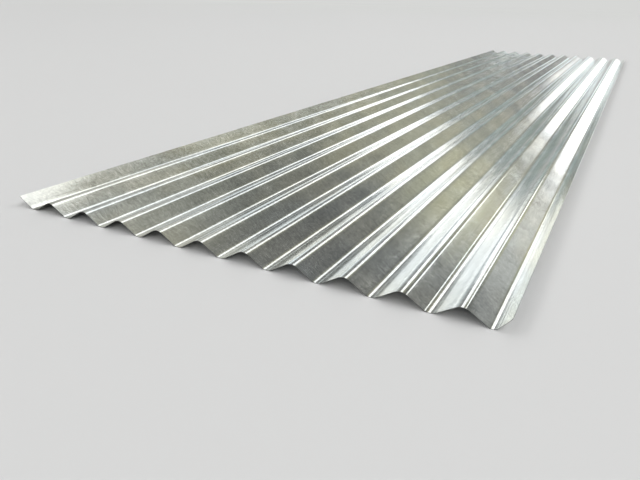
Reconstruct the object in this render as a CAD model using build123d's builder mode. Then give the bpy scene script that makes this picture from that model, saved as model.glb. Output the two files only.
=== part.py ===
"""Corrugated steel sheet: one length of galvanised strip, rolled to waves and cut square.

The waves run along Y. X is across the sheet and Z is up. The sheet lies on the
bottoms of its troughs at Z = 0, with the origin under the middle of its outline.
All sizes are in millimetres.

The section is a row of bends joined by straight flanks. Both long edges end on a
flank with no bend above it: the left one at the slope of all the flanks, and the
right one turned up more steeply by a tighter bend in the last trough.
"""

import os
from itertools import pairwise
from math import atan, cos, degrees, radians, sin, sqrt, tan

from build123d import *

# The sheet
LENGTH = 3660.0
THICKNESS = 0.5

# The wave, measured on the middle of the thickness
PITCH = 76.2
DEPTH = 18.0
BEND_RADIUS = 16.0
TROUGHS = 11

# The two long edges. Heights are those of the underside above the floor.
LEFT_EDGE_HEIGHT = 18.0
RIGHT_EDGE_HEIGHT = 19.5
RIGHT_EDGE_SLOPE = 51.0
RIGHT_EDGE_BEND_RADIUS = 9.5


def flank_slope(pitch, depth, bend_radius):
    """Slope in degrees of the straight flank that is tangent to both of its bends."""
    curl = 4 * bend_radius - depth
    half_slope_tangent = 2 * depth / (pitch + sqrt(pitch**2 - 4 * curl * depth))
    return degrees(2 * atan(half_slope_tangent))


def edge_reach(height, slope, radius):
    """How far across an edge lies from the bottom of its trough: round the bend, then up the flank."""
    bend_width = radius * sin(radians(slope))
    bend_height = radius * (1 - cos(radians(slope)))
    return bend_width + (height - bend_height) / tan(radians(slope))


# The underside of the section: the outside of each trough's bend, the inside of each crest's
SLOPE = flank_slope(PITCH, DEPTH, BEND_RADIUS)
TROUGH_RADIUS = BEND_RADIUS + THICKNESS / 2
CREST_RADIUS = BEND_RADIUS - THICKNESS / 2
EDGE_TROUGH_RADIUS = RIGHT_EDGE_BEND_RADIUS + THICKNESS / 2
CREST_CENTRE_HEIGHT = DEPTH - CREST_RADIUS

# Places across the sheet. The last trough is tighter, so its bottom lies nearer to its left flank.
LEFT_REACH = edge_reach(LEFT_EDGE_HEIGHT, SLOPE, TROUGH_RADIUS)
RIGHT_REACH = edge_reach(RIGHT_EDGE_HEIGHT, RIGHT_EDGE_SLOPE, EDGE_TROUGH_RADIUS)
LAST_TROUGH_SHIFT = (TROUGH_RADIUS - EDGE_TROUGH_RADIUS) * tan(radians(SLOPE / 2))
TROUGH_SPAN = (TROUGHS - 1) * PITCH - LAST_TROUGH_SHIFT
FIRST_TROUGH = (LEFT_REACH - TROUGH_SPAN - RIGHT_REACH) / 2
LAST_TROUGH = FIRST_TROUGH + TROUGH_SPAN


with BuildPart() as corrugated_sheet:
    with BuildSketch(Plane.XZ):
        with BuildLine():
            bends = []
            for trough in range(TROUGHS - 1):
                trough_x = FIRST_TROUGH + trough * PITCH
                crest_x = trough_x + PITCH / 2
                bends.append(CenterArc((trough_x, TROUGH_RADIUS), TROUGH_RADIUS, 270 - SLOPE, 2 * SLOPE))
                bends.append(CenterArc((crest_x, CREST_CENTRE_HEIGHT), CREST_RADIUS, 90 + SLOPE, -2 * SLOPE))
            edge_turn = SLOPE + RIGHT_EDGE_SLOPE
            bends.append(CenterArc((LAST_TROUGH, EDGE_TROUGH_RADIUS), EDGE_TROUGH_RADIUS, 270 - SLOPE, edge_turn))

            Line((FIRST_TROUGH - LEFT_REACH, LEFT_EDGE_HEIGHT), bends[0] @ 0)
            for bend, next_bend in pairwise(bends):
                Line(bend @ 1, next_bend @ 0)
            Line(bends[-1] @ 1, (LAST_TROUGH + RIGHT_REACH, RIGHT_EDGE_HEIGHT))
            offset(amount=THICKNESS, side=Side.LEFT)
        make_face()
    extrude(amount=LENGTH / 2, both=True)

corrugated_sheet.part.label = "corrugated_sheet"
os.makedirs("parts", exist_ok=True)
export_step(corrugated_sheet.part, "parts/corrugated_sheet.step")
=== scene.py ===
from math import atan, cos, pi, radians, sin, sqrt, tan

import bpy
from mathutils import Matrix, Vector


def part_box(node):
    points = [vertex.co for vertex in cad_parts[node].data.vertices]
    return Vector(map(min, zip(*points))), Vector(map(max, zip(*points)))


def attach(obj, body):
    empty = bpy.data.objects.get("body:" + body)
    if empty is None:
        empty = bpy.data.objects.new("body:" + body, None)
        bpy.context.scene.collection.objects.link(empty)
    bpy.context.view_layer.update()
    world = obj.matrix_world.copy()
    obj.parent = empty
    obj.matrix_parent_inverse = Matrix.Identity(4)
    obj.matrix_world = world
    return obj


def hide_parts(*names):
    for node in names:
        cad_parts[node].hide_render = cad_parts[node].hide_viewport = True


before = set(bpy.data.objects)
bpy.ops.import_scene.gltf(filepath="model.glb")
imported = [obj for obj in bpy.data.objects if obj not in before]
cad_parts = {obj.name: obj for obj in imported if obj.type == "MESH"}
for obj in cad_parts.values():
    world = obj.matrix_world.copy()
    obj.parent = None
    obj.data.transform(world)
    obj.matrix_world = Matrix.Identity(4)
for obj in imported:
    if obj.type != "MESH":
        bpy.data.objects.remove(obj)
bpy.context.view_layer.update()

SHEET_LOW, SHEET_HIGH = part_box("corrugated_sheet")

# The sheet's section in metres, as its construction has it. The pitch, the depth and the bends are
# measured on the middle of the thickness, and the heights of the two edges on the underside.
THICKNESS = 0.0005
PITCH = 0.0762
DEPTH = 0.018
BEND_RADIUS = 0.016
TROUGHS = 11
LEFT_EDGE_HEIGHT = 0.018
RIGHT_EDGE_HEIGHT = 0.0195
RIGHT_EDGE_SLOPE = radians(51)
RIGHT_EDGE_BEND_RADIUS = 0.0095

# How finely the shown sheet is divided, and the angle past which an edge is shaded as sharp
BEND_STEP = radians(4.5)
FLANK_STEPS = 5
LENGTH_STEPS = 84
SHARP_ANGLE = radians(40)

# The marks in the zinc: how many of each there are in a metre, across the waves and along them
STREAKS = (80, 760)
BROAD_STREAKS = (40, 190)
LINES = (700, 1.5)
CLOUDS = (24, 12)
PATCHES = (9, 4.5)
DENTS = (14, 5)

# The spangle's cells in a metre, and how far the streaks run along the sheet for each metre across
SPANGLE = 300
STREAK_SLANT = 0.16

# How strongly the marks, about the middle of their range, shade the zinc and change its roughness
MIDDLE = 0.5
STREAK_SHADE = 0.75
BROAD_STREAK_SHADE = 0.35
SPANGLE_SHADE = 0.28
CLOUD_SHADE = 1.1
PATCH_SHADE = 0.6
LINE_SHADE = 0.3
ZINC_ROUGHNESS = 0.16
GRAIN_ROUGHNESS = 0.12
CLOUD_ROUGHNESS = 0.12
CUT_ROUGHNESS = 0.3

# The colours of the light and the dark zinc, and where a patch turns from bluish to creamy
LIGHT_BLUISH = (0.79, 0.83, 0.83, 1)
LIGHT_CREAMY = (0.82, 0.835, 0.785, 1)
DARK_BLUISH = (0.405, 0.43, 0.43, 1)
DARK_CREAMY = (0.425, 0.433, 0.402, 1)
CREAMY_START = 0.35
CREAMY_FULL = 0.65

# How deep the relief of the marks is in metres, and how much of it shows
DENT_DEPTH = 0.0007
LINE_DEPTH = 0.00005
STREAK_DEPTH = 0.00003
BROAD_RELIEF = 1.0
FINE_RELIEF = 0.35

# The cut ends: bare steel, painted near black as painted shade for the shadowed rim under the edges, and
# how far inside an end this colour starts and is full
CUT_STEEL_PAINTED_SHADE = (0.12, 0.12, 0.12, 1)
CUT_START = 0.00015
CUT_FULL = 0.00005

# The camera, at the photograph's place and angle
CAMERA_PLACE = (0.4708, -2.4385, 0.3488)
CAMERA_LEFT_OF_LENGTH = radians(26.8)
CAMERA_DOWN = radians(22.8)
CAMERA_ROLL = radians(1.67)
CAMERA_LENS_MM = 33.1
CAMERA_SENSOR_MM = 36.0

# The floor, and between which shares of its radius it fades into the horizon
FLOOR_RADIUS = 45.0
FLOOR_CORNERS = 96
FLOOR_PAINT = (0.65, 0.65, 0.65, 1)
FLOOR_ROUGHNESS = 0.8
FADE_START = 0.08
FADE_END = 0.45

# The room's light: everywhere, and what the walls, the horizon and the ceiling add
ROOM_TINT = (0.99, 1.0, 0.98, 1)
ROOM_LIGHT = 0.2
WALL_LIGHT = 0.14
HORIZON_LIGHT = 0.34
CEILING_LIGHT = 0.14

# Between which heights the horizon and the walls end and the ceiling starts
HORIZON_TOP = (radians(0), radians(6))
WALL_TOP = (radians(16), radians(34))
CEILING_EDGE = (radians(42), radians(60))

# How far off the soft boxes and the windows stand
BOX_DISTANCE = 40.0
WINDOW_DISTANCE = 60.0

# The strip over the right edge
STRIP_PLACE = (0.375, -1.05, 0.21)
STRIP_WIDTH = 0.03
STRIP_LENGTH = 0.9
STRIP_BRIGHTNESS = 2.0

# The tints of the lamps
WHITE = (1.0, 1.0, 1.0)
CREAM = (1.0, 0.955, 0.5)
LIGHT_CREAM = (1.0, 0.96, 0.7)
PALE_CREAM = (0.99, 0.98, 0.89)
COOL = (0.88, 0.97, 1.0)
GREEN = (0.3, 1.0, 0.85)

# Watts for each square metre of a lamp that looks as bright as an emission of strength 1
LAMP_WATTS = 4


class Wire:
    """A number on its way through a node tree. Arithmetic on it adds Math nodes."""

    def __init__(self, bench, socket):
        self.bench = bench
        self.socket = socket

    def math(self, operation, *numbers):
        return self.bench.node("ShaderNodeMath", {"operation": operation}, dict(enumerate(numbers)))

    def __add__(self, other):
        return self.math("ADD", self, other)

    def __radd__(self, other):
        return self.math("ADD", other, self)

    def __sub__(self, other):
        return self.math("SUBTRACT", self, other)

    def __rsub__(self, other):
        return self.math("SUBTRACT", other, self)

    def __mul__(self, other):
        return self.math("MULTIPLY", self, other)

    def __rmul__(self, other):
        return self.math("MULTIPLY", other, self)


class Bench:
    """Where the nodes of one material, or of the world, are put together."""

    def __init__(self, owner):
        owner.use_nodes = True
        self.tree = owner.node_tree
        self.tree.nodes.clear()

    def node(self, kind, settings=None, sockets=None, output=0):
        """Adds a node, sets it up, then gives its sockets their values or wires."""
        made = self.tree.nodes.new(kind)
        for name, value in (settings or {}).items():
            setattr(made, name, value)
        for name, value in (sockets or {}).items():
            if isinstance(value, Wire):
                self.tree.links.new(value.socket, made.inputs[name])
            else:
                made.inputs[name].default_value = value
        return Wire(self, made.outputs[output]) if made.outputs else None

    def part(self, vector, axis):
        """One of a vector's three numbers."""
        return self.node("ShaderNodeSeparateXYZ", {}, {0: vector}, output=axis)

    def rise(self, value, low, high):
        """0 below low, 1 above high and a smooth rise between."""
        sockets = {"Value": value, 1: low, 2: high}
        return self.node("ShaderNodeMapRange", {"interpolation_type": "SMOOTHSTEP"}, sockets)

    def blend(self, share, first, second):
        """A mix of two colours."""
        sockets = {0: share, 6: first, 7: second}
        return self.node("ShaderNodeMix", {"data_type": "RGBA"}, sockets, output=2)

    def marks(self, across, along, up, counts, detail, roughness):
        """Noise with so many marks in a metre across the waves and along them."""
        count_across, count_along = counts
        sockets = {0: across * count_across, 1: along * count_along, 2: up * count_across}
        place = self.node("ShaderNodeCombineXYZ", {}, sockets)
        sockets = {"Vector": place, "Scale": 1.0, "Detail": detail, "Roughness": roughness}
        return self.node("ShaderNodeTexNoise", {}, sockets)

    def relief(self, height, strength, depth, normal=None):
        """The surface's normal, dented by a height between 0 and 1."""
        sockets = {"Height": height, "Strength": strength, "Distance": depth}
        if normal is not None:
            sockets["Normal"] = normal
        return self.node("ShaderNodeBump", {}, sockets)


def galvanised_steel():
    """Bright zinc on rolled steel: a fine spangle, streaks across the waves and lines along them."""
    material = bpy.data.materials.new("galvanised_steel")
    bench = Bench(material)
    place = bench.node("ShaderNodeTexCoord", output="Object")
    across = bench.part(place, "X")
    along = bench.part(place, "Y")
    up = bench.part(place, "Z")
    slanted = along + STREAK_SLANT * across

    streaks = bench.marks(across, slanted, up, STREAKS, detail=3.0, roughness=0.65)
    broad_streaks = bench.marks(across, slanted, up, BROAD_STREAKS, detail=2.0, roughness=0.6)
    lines = bench.marks(across, along, up, LINES, detail=2.0, roughness=0.6)
    clouds = bench.marks(across, along, up, CLOUDS, detail=4.0, roughness=0.6)
    patches = bench.marks(across, along, up, PATCHES, detail=2.0, roughness=0.5)
    dents = bench.marks(across, along, up, DENTS, detail=1.0, roughness=0.5)
    cells = bench.node("ShaderNodeTexVoronoi", {}, {"Vector": place, "Scale": SPANGLE}, output="Color")
    spangle = bench.part(cells, "X")
    from_middle = along.math("ABSOLUTE", along)
    painted_shade_cut_end = bench.rise(from_middle, SHEET_HIGH.y - CUT_START, SHEET_HIGH.y - CUT_FULL)

    grain = STREAK_SHADE * (streaks - MIDDLE) + BROAD_STREAK_SHADE * (broad_streaks - MIDDLE)
    grain = grain + SPANGLE_SHADE * (spangle - MIDDLE)
    shade = MIDDLE + grain + CLOUD_SHADE * (clouds - MIDDLE)
    shade = shade + PATCH_SHADE * (patches - MIDDLE) + LINE_SHADE * (lines - MIDDLE)
    creamy = bench.rise(patches, CREAMY_START, CREAMY_FULL)
    light_zinc = bench.blend(creamy, LIGHT_BLUISH, LIGHT_CREAMY)
    dark_zinc = bench.blend(creamy, DARK_BLUISH, DARK_CREAMY)
    zinc = bench.blend(shade, dark_zinc, light_zinc)
    # Painted shade: the cut ends get a near-black steel colour, much darker than bare steel, standing in
    # for their shadowed rim
    colour = bench.blend(painted_shade_cut_end, zinc, CUT_STEEL_PAINTED_SHADE)
    roughness = ZINC_ROUGHNESS + GRAIN_ROUGHNESS * grain + CLOUD_ROUGHNESS * (clouds - MIDDLE)
    roughness = roughness + CUT_ROUGHNESS * painted_shade_cut_end

    normal = bench.relief(dents, BROAD_RELIEF, DENT_DEPTH)
    normal = bench.relief(lines, FINE_RELIEF, LINE_DEPTH, normal)
    normal = bench.relief(streaks, FINE_RELIEF, STREAK_DEPTH, normal)
    sockets = {"Base Color": colour, "Metallic": 1.0, "Roughness": roughness, "Normal": normal}
    surface = bench.node("ShaderNodeBsdfPrincipled", {}, sockets)
    bench.node("ShaderNodeOutputMaterial", {}, {"Surface": surface})
    return material


def pale_floor():
    """Plain pale paint that ends, far off, at the brightness of the horizon behind it."""
    material = bpy.data.materials.new("pale_floor")
    bench = Bench(material)
    place = bench.node("ShaderNodeTexCoord", output="Object")
    away = bench.node("ShaderNodeVectorMath", {"operation": "LENGTH"}, {0: place}, output="Value")
    fade = bench.rise(away, FADE_START * FLOOR_RADIUS, FADE_END * FLOOR_RADIUS)
    sockets = {"Base Color": FLOOR_PAINT, "Roughness": FLOOR_ROUGHNESS}
    paint = bench.node("ShaderNodeBsdfPrincipled", {}, sockets)
    sockets = {"Color": ROOM_TINT, "Strength": ROOM_LIGHT + WALL_LIGHT + HORIZON_LIGHT}
    glow = bench.node("ShaderNodeEmission", {}, sockets)
    surface = bench.node("ShaderNodeMixShader", {}, {0: fade, 1: paint, 2: glow})
    bench.node("ShaderNodeOutputMaterial", {}, {"Surface": surface})
    return material


def flank_slope():
    """The slope of the straight flank that is tangent to both of its bends."""
    curl = 4 * BEND_RADIUS - DEPTH
    return 2 * atan(2 * DEPTH / (PITCH + sqrt(PITCH**2 - 4 * curl * DEPTH)))


def section_bends():
    """The bends from left to right: centre x and z, radius (negative on crests), slopes in and out."""
    slope = flank_slope()
    trough_z = THICKNESS / 2 + BEND_RADIUS
    crest_z = THICKNESS / 2 + DEPTH - BEND_RADIUS
    left_reach = trough_z * tan(slope / 2) + LEFT_EDGE_HEIGHT / tan(slope)
    first_x = SHEET_LOW.x + left_reach
    bends = []
    for trough in range(TROUGHS - 1):
        trough_x = first_x + trough * PITCH
        bends.append((trough_x, trough_z, BEND_RADIUS, -slope, slope))
        bends.append((trough_x + PITCH / 2, crest_z, -BEND_RADIUS, slope, -slope))
    last_shift = (BEND_RADIUS - RIGHT_EDGE_BEND_RADIUS) * tan(slope / 2)
    last_x = first_x + (TROUGHS - 1) * PITCH - last_shift
    last_z = THICKNESS / 2 + RIGHT_EDGE_BEND_RADIUS
    bends.append((last_x, last_z, RIGHT_EDGE_BEND_RADIUS, -slope, RIGHT_EDGE_SLOPE))
    return bends


def arc(centre_x, centre_z, radius, slope_in, slope_out):
    """The steps round one bend, both of its ends among them."""
    steps = round(abs(slope_out - slope_in) / BEND_STEP)
    line = []
    for step in range(steps + 1):
        slope = slope_in + (slope_out - slope_in) * step / steps
        line.append((centre_x + radius * sin(slope), centre_z - radius * cos(slope), slope))
    return line


def straight(start, end):
    """The steps between the two ends of a flank."""
    steps = []
    for step in range(1, FLANK_STEPS):
        share = step / FLANK_STEPS
        x = start[0] + (end[0] - start[0]) * share
        z = start[1] + (end[1] - start[1]) * share
        steps.append((x, z, end[2]))
    return steps


def edge_tip(bend_end, height):
    """The tip of the edge that runs straight on from a bend until its underside is this high."""
    x, z, slope = bend_end
    rise = height + THICKNESS / 2 * cos(slope) - z
    return (x + rise / tan(slope), z + rise, slope)


def section_line():
    """The middle of the sheet's thickness, from the left edge to the right: (x, z, slope) at each step."""
    line = []
    for bend in section_bends():
        steps = arc(*bend)
        if line:
            line += straight(line[-1], steps[0])
        line += steps
    left_tip = edge_tip(line[0], LEFT_EDGE_HEIGHT)
    right_tip = edge_tip(line[-1], RIGHT_EDGE_HEIGHT)
    left_edge = [left_tip] + straight(left_tip, line[0])
    right_edge = straight(line[-1], right_tip) + [right_tip]
    return left_edge + line + right_edge


def rolled_sheet(material):
    """The shown sheet: the section carried along the length as one closed skin."""
    line = section_line()
    half = THICKNESS / 2
    top = [(x - half * sin(slope), z + half * cos(slope)) for x, z, slope in line]
    under = [(x + half * sin(slope), z - half * cos(slope)) for x, z, slope in line]
    ring = top + under[::-1]
    count = len(ring)
    length = SHEET_HIGH.y - SHEET_LOW.y
    points = []
    for row in range(LENGTH_STEPS + 1):
        y = SHEET_LOW.y + length * row / LENGTH_STEPS
        points += [(x, y, z) for x, z in ring]
    faces = []
    for row in range(LENGTH_STEPS):
        near = row * count
        far = near + count
        for step in range(count):
            after = (step + 1) % count
            faces.append((near + step, near + after, far + after, far + step))
    last = LENGTH_STEPS * count
    for step in range(len(line) - 1):
        below = count - 1 - step
        faces.append((step, below, below - 1, step + 1))
        faces.append((last + step, last + step + 1, last + below - 1, last + below))
    mesh = bpy.data.meshes.new("rolled_sheet")
    mesh.from_pydata(points, [], faces)
    mesh.validate()
    mesh.shade_smooth()
    mesh.set_sharp_from_angle(angle=SHARP_ANGLE)
    mesh.materials.append(material)
    sheet = bpy.data.objects.new("rolled_sheet", mesh)
    bpy.context.scene.collection.objects.link(sheet)
    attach(sheet, "root")
    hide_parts("corrugated_sheet")


def floor(material):
    """A wide round floor at the height of the sheet's underside."""
    rim = []
    for corner in range(FLOOR_CORNERS):
        angle = 2 * pi * corner / FLOOR_CORNERS
        rim.append((FLOOR_RADIUS * cos(angle), FLOOR_RADIUS * sin(angle), 0))
    mesh = bpy.data.meshes.new("floor")
    mesh.from_pydata(rim, [], [range(FLOOR_CORNERS)])
    mesh.materials.append(material)
    made = bpy.data.objects.new("floor", mesh)
    bpy.context.scene.collection.objects.link(made)


def room():
    """Plain walls, pale at the horizon and grey above, under a slightly lighter ceiling."""
    world = bpy.data.worlds.new("room")
    bpy.context.scene.world = world
    bench = Bench(world)
    way = bench.node("ShaderNodeTexCoord", output="Generated")
    up = bench.part(way, "Z")
    height = up.math("ARCSINE", up)

    horizon = 1 - bench.rise(height, *HORIZON_TOP)
    walls = 1 - bench.rise(height, *WALL_TOP)
    ceiling = bench.rise(height, *CEILING_EDGE)
    light = ROOM_LIGHT + WALL_LIGHT * walls + HORIZON_LIGHT * horizon + CEILING_LIGHT * ceiling
    sockets = {"Color": ROOM_TINT, "Strength": light}
    background = bench.node("ShaderNodeBackground", {}, sockets)
    bench.node("ShaderNodeOutputWorld", {}, {"Surface": background})


def lamp(name, place, width, length, brightness, tint):
    """A flat lamp that the camera doesn't see, as bright as an emission of this strength."""
    light = bpy.data.lights.new(name, "AREA")
    light.shape = "RECTANGLE"
    light.size = width
    light.size_y = length
    light.energy = brightness * LAMP_WATTS * width * length
    light.color = tint
    made = bpy.data.objects.new(name, light)
    made.matrix_world = place
    made.visible_camera = False
    bpy.context.scene.collection.objects.link(made)
    return made


def long_box(name, leans, aheads, brightness, tint=WHITE):
    """A soft box along the sheet, between two leans from overhead and two angles ahead, in degrees."""
    low, high = (radians(angle) for angle in leans)
    start, end = (BOX_DISTANCE * tan(radians(angle)) for angle in aheads)
    lean = Matrix.Rotation((low + high) / 2, 4, "Y")
    place = lean @ Matrix.Translation((0, (start + end) / 2, BOX_DISTANCE))
    lamp(name, place, 2 * BOX_DISTANCE * tan((high - low) / 2), end - start, brightness, tint)


def window(name, turns, heights, brightness, tint=WHITE):
    """An upright soft box far ahead, between two turns to the right and two heights, in degrees."""
    left, right = (radians(angle) for angle in turns)
    bottom, top = (WINDOW_DISTANCE * tan(radians(angle)) for angle in heights)
    turn = Matrix.Rotation(-(left + right) / 2, 4, "Z")
    stand = Matrix.Translation((0, WINDOW_DISTANCE, (bottom + top) / 2))
    upright = Matrix.Rotation(-pi / 2, 4, "X")
    width = 2 * WINDOW_DISTANCE * tan((right - left) / 2)
    lamp(name, turn @ stand @ upright, width, top - bottom, brightness, tint)


def edge_strip():
    """A narrow strip low over the near part of the right edge. Only reflections show it."""
    place = Matrix.Translation(STRIP_PLACE)
    strip = lamp("edge_strip", place, STRIP_WIDTH, STRIP_LENGTH, STRIP_BRIGHTNESS, WHITE)
    strip.visible_diffuse = False


def soft_boxes():
    """The soft boxes and the windows, grouped by where the sheet mirrors them."""
    # White bands on the left sides of the waves, and the bright near corners
    long_box("line_box", (-29, -10), (25, 57.5), 1.3)
    long_box("far_line_box", (-34, -12), (57.5, 70), 1.35)
    long_box("wide_line_box", (-57, -34), (63.2, 70.5), 1.35)
    long_box("near_right_box", (-33, -27), (59, 63.5), 0.8)
    long_box("corner_box", (-14, -5.1), (26, 35.2), 1.5)
    long_box("near_left_box", (-64, -29), (33, 48.5), 0.38, PALE_CREAM)

    # A cream glow on the right sides of the waves
    long_box("near_overhead_box", (-9, 9), (34, 46), 0.17, LIGHT_CREAM)
    long_box("left_overhead_box", (-9, -2), (46, 60), 0.19, CREAM)
    long_box("overhead_box", (-2, 9), (46, 60), 0.04, CREAM)
    long_box("far_overhead_box", (-9, 7), (60, 73), 0.18, CREAM)
    long_box("dim_panel", (7, 38), (70.5, 76), 0.13, CREAM)
    long_box("right_panel", (7, 38), (64.5, 70.5), 0.2, CREAM)
    long_box("bright_panel", (17, 38), (63, 70.5), 0.13, CREAM)
    long_box("far_right_panel", (38, 54), (62, 72), 0.36, PALE_CREAM)

    # Bright bands where the sheet is seen from its sides or from behind
    long_box("left_box", (-56, -36), (-60, 20), 1.6)
    long_box("right_box", (22, 58), (-50, 40), 1.9)
    long_box("back_left_box", (-54, -24), (-77, -60), 1.2)
    long_box("back_right_box", (14, 50), (-77, -50), 1.2)

    # Windows beyond the far end
    window("left_window", (-33, -18), (3.2, 16), 0.35, COOL)
    window("far_left_window", (-41, -33), (4, 19), 0.75, COOL)
    window("low_left_window", (-33, -20), (0.1, 3.2), 1.5)
    window("middle_window", (-3.9, -1.8), (4.2, 9.8), 2.3, COOL)
    window("valley_window", (-10.5, -3.4), (9.8, 17), 0.09, GREEN)
    window("left_valley_window", (-16, -8), (6, 13), 0.05, GREEN)
    window("right_window", (2.7, 4.6), (3, 8.8), 1.9)
    window("far_right_window", (4.6, 15), (3, 10.1), 1.9)


def camera():
    """Looks along the sheet from a little above and in front of its near right corner."""
    data = bpy.data.cameras.new("camera")
    data.sensor_width = CAMERA_SENSOR_MM
    data.lens = CAMERA_LENS_MM
    made = bpy.data.objects.new("camera", data)
    bpy.context.scene.collection.objects.link(made)
    turn = Matrix.Rotation(CAMERA_LEFT_OF_LENGTH, 4, "Z")
    tilt = Matrix.Rotation(pi / 2 - CAMERA_DOWN, 4, "X")
    roll = Matrix.Rotation(CAMERA_ROLL, 4, "Z")
    made.matrix_world = Matrix.Translation(CAMERA_PLACE) @ turn @ tilt @ roll
    bpy.context.scene.camera = made


bpy.context.scene.view_settings.view_transform = "Standard"
rolled_sheet(galvanised_steel())
floor(pale_floor())
room()
soft_boxes()
edge_strip()
camera()
